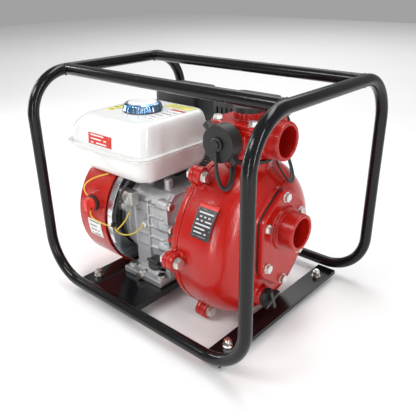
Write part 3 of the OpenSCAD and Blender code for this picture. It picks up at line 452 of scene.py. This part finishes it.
def makeTank():
    low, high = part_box("fuel_tank_upper")
    white = finishes["white_plastic"]
    upper = newPiece("tank_upper", tankShell(tankLevels["upper"], low, high), white, "base",
                     "white_plastic", 50, ("fuel_tank_upper",))
    cut = bpy.data.objects.new("dish", bpy.data.meshes.new("dish"))
    bm = bmesh.new()
    dishFloor = tank["top"] - tank["dishDepth"]
    bmesh.ops.create_cone(bm, cap_ends=True, segments=96, radius1=tank["dish"] - tank["dishSlope"],
                          radius2=tank["dish"] + 0.004, depth=0.02,
                          matrix=Matrix.Translation((*tank["capAt"], dishFloor + 0.01)))
    bm.to_mesh(cut.data)
    bm.free()
    bpy.context.scene.collection.objects.link(cut)
    d = upper.modifiers.new("dish", "BOOLEAN")
    d.object = cut
    d.operation = "DIFFERENCE"
    d.solver = "EXACT"
    applied(upper)
    bpy.data.objects.remove(cut)
    paint(upper, white)
    upper.data.polygons.foreach_set("use_smooth", [True] * len(upper.data.polygons))
    upper.data.set_sharp_from_angle(angle=radians(50))
    newPiece("tank_lower", tankShell(tankLevels["lower"], low, high), white, "base", "white_plastic", 50,
             ("fuel_tank_lower",))
    gap, rimThick = 0.0002, 0.0026
    for name, z in (("rim_upper", tank["rim"] + gap), ("rim_lower", tank["rim"] - gap - rimThick)):
        bm = bmesh.new()
        bmesh.ops.create_cube(bm, size=1)
        for v in bm.verts:
            v.co = Vector((low[0] if v.co.x < 0 else high[0], low[1] if v.co.y < 0 else high[1],
                           z + (rimThick if v.co.z > 0 else 0)))
        sides = [e for e in bm.edges if abs(e.verts[0].co.z - e.verts[1].co.z) > 0.001]
        bmesh.ops.bevel(bm, geom=sides, offset=tank["rimCorner"], offset_type="OFFSET", segments=10,
                        profile=0.5, affect="EDGES", material=-1)
        o = newPiece("tank_" + name, bm, white, "base", "white_plastic")
        e = o.modifiers.new("round", "BEVEL")
        e.width = 0.001
        e.segments = 3
        e.limit_method = "ANGLE"
    print("tank done")


cap = {
    "lift": 0.0023, "flutes": 27, "fluteDepth": 0.035, "gripFrom": 0.0335,
    "band": ((0.0, 0.0135), (0.022, 0.0132), (0.0262, 0.0125), (0.0275, 0.0118), (0.0285, 0.0128),
             (0.0305, 0.0126), (0.0330, 0.0110), (0.0342, 0.0090), (0.0345, 0.0070), (0.0365, 0.0020),
             (0.0368, 0.0), (0.0350, -0.0004), (0.0300, -0.0004)),
    "disc": ((0.0, 0.0148), (0.020, 0.0146), (0.0250, 0.0140), (0.0266, 0.0126), (0.0266, 0.0120)),
}


def makeTankCap():
    x, y = tank["capAt"]
    z = tank["top"] + cap["lift"]
    band = spun([(x + r, y, z + h) for r, h in cap["band"]], (0, 0, 1), (x, y, z), 108)
    for v in band.verts:  # the fluted grip
        out = Vector((v.co.x - x, v.co.y - y))
        if out.length > cap["gripFrom"]:
            wave = 0.5 + 0.5 * cos(atan2(out.y, out.x) * cap["flutes"])
            out *= 1 - cap["fluteDepth"] * wave
            v.co.x, v.co.y = x + out.x, y + out.y
    newPiece("cap_band", band, finishes["blue_cap"], "fuel_cap", "blue_cap", 40, ("tank_cap",))
    disc = spun([(x + r, y, z + h) for r, h in cap["disc"]], (0, 0, 1), (x, y, z), 72)
    newPiece("cap_disc", disc, connectorWhite, "fuel_cap", "white_plastic", 40)
    print("cap done")


# ---- stickers and plates ----


def sticker(name, corners, lift, material, bend=None, cuts=14):
    # a thin sheet between four corners, pulled onto a round surface where bend is given
    bm = bmesh.new()
    bmesh.ops.create_grid(bm, x_segments=cuts, y_segments=cuts, size=0.5, calc_uvs=True)
    uvLayer = bm.loops.layers.uv.verify()
    for f in bm.faces:
        for loop in f.loops:
            loop[uvLayer].uv = (loop.vert.co.x + 0.5, loop.vert.co.y + 0.5)
    a, b, c, d = (Vector(p) for p in corners)
    for v in bm.verts:
        s, t = v.co.x + 0.5, v.co.y + 0.5
        p = a.lerp(b, s).lerp(d.lerp(c, s), t)
        v.co = bend(p, lift) if bend else p + Vector(lift)
    mesh = bpy.data.meshes.new(name)
    bm.to_mesh(mesh)
    bm.free()
    mesh.polygons.foreach_set("use_smooth", [True] * len(mesh.polygons))
    o = bpy.data.objects.new(name, mesh)
    bpy.context.scene.collection.objects.link(o)
    paint(o, material)
    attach(o, "base")
    t = o.modifiers.new("sheet", "SOLIDIFY")
    t.thickness = 0.0003
    t.offset = 0


def roundCasing(centreY, centreZ, radius):
    def bend(p, lift):
        out = Vector((p.y - centreY, p.z - centreZ))
        out = out.normalized() * (radius + lift)
        return Vector((p.x, centreY + out.x, centreZ + out.y))
    return bend


casing = {"axisY": -0.014, "axisZ": 0.150, "radius": 0.138,
          "across": (0.0965, 0.1335), "angles": (161, 138)}  # the plate on it
fanHousing = {"axisY": -0.014, "axisZ": 0.139, "radius": 0.1212,
              "across": (-0.181, -0.143), "angles": (197, 180)}  # the label on it
tankLabels = {  # west, south, east, north edge on the tank's top
    "warning_sheet": (-0.080, -0.076, -0.047, 0.004),
    "caution_left": (-0.183, -0.070, -0.164, 0.004),
    "caution_right": (-0.112, 0.012, -0.050, 0.036),
}
badge = {"left": -0.168, "right": -0.104, "low": (-0.1236, 0.286), "high": (-0.1220, 0.306)}


def roundSticker(name, shape, material):
    y, z, r = shape["axisY"], shape["axisZ"], shape["radius"]
    left, right = shape["across"]
    low, high = (radians(a) for a in shape["angles"])
    corners = [(x, y + r * cos(a), z + r * sin(a))
               for x, a in ((left, low), (right, low), (right, high), (left, high))]
    sticker(name, corners, 0.0004, material, bend=roundCasing(y, z, r))


def makeStickers():
    ink, paper, sign = (0.035, 0.035, 0.04), (0.84, 0.84, 0.82), (0.62, 0.03, 0.02)
    plate = printed("rating plate", ink, (0.62, 0.63, 0.64), sign, 9, 0.86)
    white = printed("white label", paper, (0.30, 0.30, 0.32), sign, 6, 0.90)
    yellow = printed("yellow label", (0.74, 0.70, 0.16), (0.20, 0.20, 0.14), (0.74, 0.70, 0.16), 5, 0.97)
    label = printed("housing label", paper, (0.22, 0.22, 0.24), paper, 4, 0.98)
    tankSign = printed("badge", sign, paper, sign, 3, 0.97)
    roundSticker("rating_plate", casing, plate)
    roundSticker("housing_label", fanHousing, label)
    z = tank["top"]
    for name, (west, south, east, north) in tankLabels.items():
        corners = [(west, south, z), (east, south, z), (east, north, z), (west, north, z)]
        sticker(name, corners, (0, 0, 0.0004), white if name == "warning_sheet" else yellow)
    corners = [(badge[side], *badge[edge])
               for side, edge in (("left", "low"), ("right", "low"), ("right", "high"), ("left", "high"))]
    sticker("tank_badge", corners, (0, -0.0005, 0.0001), tankSign)
    print("stickers done")


# ---- screw threads ----


def thread(name, start, axis, radius, length, pitch, depth):
    # one ridge wound along a port, its foot sunk below the thread's root
    axis = Vector(axis)
    side = Vector((0, 0, 1)) if abs(axis.z) < 0.5 else Vector((0, 1, 0))
    turns = length / pitch - 1
    root = radius - depth
    bm = bmesh.new()
    foot = root - 0.0004
    section = [(0.0, foot), (0.15, root), (0.42, radius), (0.58, radius), (0.85, root), (1.0, foot)]
    verts = [bm.verts.new(Vector(start) + axis * (u * pitch) + side * r) for u, r in section]
    edges = [bm.edges.new((a, b)) for a, b in zip(verts, verts[1:])]
    steps = int(turns * 40)
    bmesh.ops.spin(bm, geom=verts + edges, cent=Vector(start), axis=axis,
                   dvec=axis * (turns * pitch / steps), angle=2 * pi * turns, steps=steps,
                   use_duplicate=False)
    newPiece(name, bm, finishes["red_cast"], "base", "red_cast", 60)


def tube(name, start, axis, profile, body, slot, steps=72):
    # a turned piece: profile is (distance along the axis, radius) pairs
    axis = Vector(axis)
    side = Vector((0, 0, 1)) if abs(axis.z) < 0.5 else Vector((0, 1, 0))
    points = [Vector(start) + axis * d + side * r for d, r in profile]
    newPiece(name, spun(points, axis, Vector(start), steps), finishes[slot], body, slot)


ridge = {"pitch": 0.0023, "depth": 0.0013, "proud": 0.0009, "fromEnd": 0.001}


def makeThreads():
    for m in frame["record"]["mounts"]:
        if m["kind"] != "pin":
            continue
        r, length = m["dims"]["r_mm"] / 1000, m["dims"]["length_mm"] / 1000
        start = Vector(m["pos_m"]) - Vector(m["axis"]) * (length / 2 - ridge["fromEnd"])
        thread(m["name"] + "_thread", start, (1, 0, 0), r + ridge["proud"], length - 2 * ridge["fromEnd"],
               ridge["pitch"], ridge["depth"])
    print("threads done")


# ---- straps, wires and hoses ----


def bez(a, b, c, d, count):
    a, b, c, d = (Vector(p) / 1000 for p in (a, b, c, d))
    row = []
    for i in range(count + 1):
        t = i / count
        row.append(a * (1 - t) ** 3 + b * (3 * t * (1 - t) ** 2) + c * (3 * t * t * (1 - t)) + d * t ** 3)
    return row


def runTube(name, points, radius, material, body, slot, flat=1.0, sides=12, stands=()):
    # a tube along the points: a ring of edges carried from one point to the next
    bm = bmesh.new()
    rings = []
    upright = abs((points[1] - points[0]).normalized().z) >= 0.8
    side = Vector((0, 1, 0)) if upright else Vector((0, 0, 1))
    for i, p in enumerate(points):
        along = (points[min(i + 1, len(points) - 1)] - points[max(i - 1, 0)]).normalized()
        side = (side - along * side.dot(along)).normalized()
        turn = Matrix((side, along.cross(side), along)).transposed().to_4x4()
        ring = bmesh.ops.create_circle(bm, segments=sides, radius=radius, matrix=Matrix.Translation(p) @ turn
                                       @ Matrix.Diagonal((1, flat, 1, 1)))
        rings.append(ring["verts"])
    for low, high in zip(rings, rings[1:]):
        edges = {e for ring in (low, high) for v in ring for e in v.link_edges if e.other_vert(v) in ring}
        bmesh.ops.bridge_loops(bm, edges=list(edges))
    for ring in (rings[0], rings[-1]):
        bm.faces.new(ring)
    return newPiece(name, bm, material, body, slot, 60, stands)


wires = {  # millimetres: four control points and the radius
    "tank_wire": ((-146, -104, 226), (-168, -134, 222), (-178, -150, 208), (-164, -142, 191), 1.3),
    "switch_wire": ((-161, -142, 161), (-152, -150, 146), (-134, -150, 152), (-112, -136, 140), 1.3),
    "connector_wire": ((-84, -113, 170), (-84, -124, 150), (-104, -124, 138), (-116, -124, 122), 1.3),
    "boss_wire": ((-66, -99, 144), (-78, -112, 118), (-104, -126, 118), (-114, -126, 134), 1.3),
    "black_sleeve": ((-88, -104, 226), (-96, -122, 206), (-108, -128, 176), (-112, -124, 142), 2.6),
}


wireTie = {"place": (-0.1135, -0.129, 0.141), "along": (0.3, 0, 1),
           "profile": [(-0.003, 0.0), (-0.003, 0.0042), (0.003, 0.0042), (0.003, 0.0)]}
head = {"x": 106, "y": -14, "z": 328, "capPin": 79.6}  # millimetres: middle, and how far out the straps lie
strap = {
    "radius": 0.0042, "flat": 0.40, "eyeStep": 0.0018,
    "eye": [(0, 0.0056), (0, 0.0095), (0.0008, 0.0105), (0.0028, 0.0105), (0.0036, 0.0095), (0.0036, 0.0056),
            (0, 0.0056)],
}


def strapPath(end):  # millimetres: the band hangs from the eye and comes up to the ring on the neck
    x, y, z, out = head["x"], head["y"], head["z"], head["capPin"]
    if end == "front":
        eye = y - out
        return bez((x, eye, z - 13.5), (x + 2, eye - 8, z - 70), (x + 44, eye - 17, z - 82),
                   (x + 5, y - 45, z - 38), 30)
    eye = y + out
    return bez((x + 2, eye, z - 13.5), (x + 44, eye + 8, z - 88), (x + 90, eye - 72, z - 98),
               (x + 43, y + 14, z - 37), 30)


def makeStraps():
    x, z = head["x"] / 1000, head["z"] / 1000
    for end, sign in (("front", -1), ("rear", 1)):
        y = (head["y"] + sign * head["capPin"]) / 1000
        carrier = end + "_cap_carrier"
        band = runTube(end + "_strap_band", [Vector((x, y, z - 0.0075))] + strapPath(end), strap["radius"],
                       finishes["hose_rubber"], None, "hose_rubber", strap["flat"], 14, (end + "_strap",))
        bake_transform(band)
        tube(end + "_strap_eye", (x, y - sign * strap["eyeStep"], z), (0, sign, 0), strap["eye"], carrier,
             "hose_rubber")


def makeLines():
    for name, (a, b, c, d, r) in wires.items():
        finish = finishes["hose_rubber" if name == "black_sleeve" else "wire"]
        runTube(name, bez(a, b, c, d, 24), r / 1000, finish, "base", "wire", sides=10,
                stands=("wiring_harness",) if name == "tank_wire" else ())
    tube("wire_tie", wireTie["place"], wireTie["along"], wireTie["profile"], "base", "black_plastic", 24)
    makeStraps()
    print("straps and wires done")


weld = {"railY": 0.108, "tube": 0.010, "beads": 30, "bead": 0.0017, "spread": 0.0002}


def makeWelds():
    # a rippled bead round each joint of a top rail with a hoop
    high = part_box("right_hoop")[1]
    tubeR, z = weld["tube"], high[2] - weld["tube"]
    for s in (-1, 1):
        for e in (-1, 1):
            x, y = e * (high[0] - tubeR), s * weld["railY"]
            bm = bmesh.new()
            for i in range(weld["beads"]):
                a = 2 * pi * i / weld["beads"]
                dz, dy = tubeR * cos(a), tubeR * sin(a)
                inward = sqrt(max(tubeR ** 2 - dz ** 2, 0)) * 0.98
                p = Vector((x - e * inward, y + dy * 1.04, z + dz * 1.02))
                size = weld["bead"] + weld["spread"] * random.random()
                bmesh.ops.create_icosphere(bm, subdivisions=2, radius=size, matrix=Matrix.Translation(p))
            o = newPiece("weld_%s_%s" % ("front" if s < 0 else "rear", "left" if e < 0 else "right"), bm,
                         finishes["frame"], "base", "frame")
            flow = o.modifiers.new("flow", "REMESH")
            flow.mode = "VOXEL"
            flow.voxel_size = 0.0004
            o.modifiers.new("melt", "SMOOTH").iterations = 3
            applied(o)
            for v in o.data.vertices:  # no higher than the frame's tube
                v.co.z = min(v.co.z, z + tubeR - 0.0001)
            paint(o, finishes["frame"])
            o.data.polygons.foreach_set("use_smooth", [True] * len(o.data.polygons))
    print("welds done")


def makeFloor():
    bm = bmesh.new()
    bmesh.ops.create_grid(bm, x_segments=1, y_segments=1, size=6)
    mesh = bpy.data.meshes.new("floor")
    bm.to_mesh(mesh)
    bm.free()
    o = bpy.data.objects.new("floor", mesh)
    bpy.context.scene.collection.objects.link(o)
    f = Finish("pale floor")
    cloud = f.noise(2.0, 2.0)
    o.data.materials.append(f.use(Base_Color=f.blendColour(cloud, (0.90, 0.90, 0.90), (0.93, 0.93, 0.93)),
                                  Roughness=cloud * 0.1 + 0.6))


makeCamera()
makeLights()
makeFloor()
makePlainPieces()
makeTank()
makeTankCap()
makeStickers()
makeThreads()
makeLines()
makeWelds()
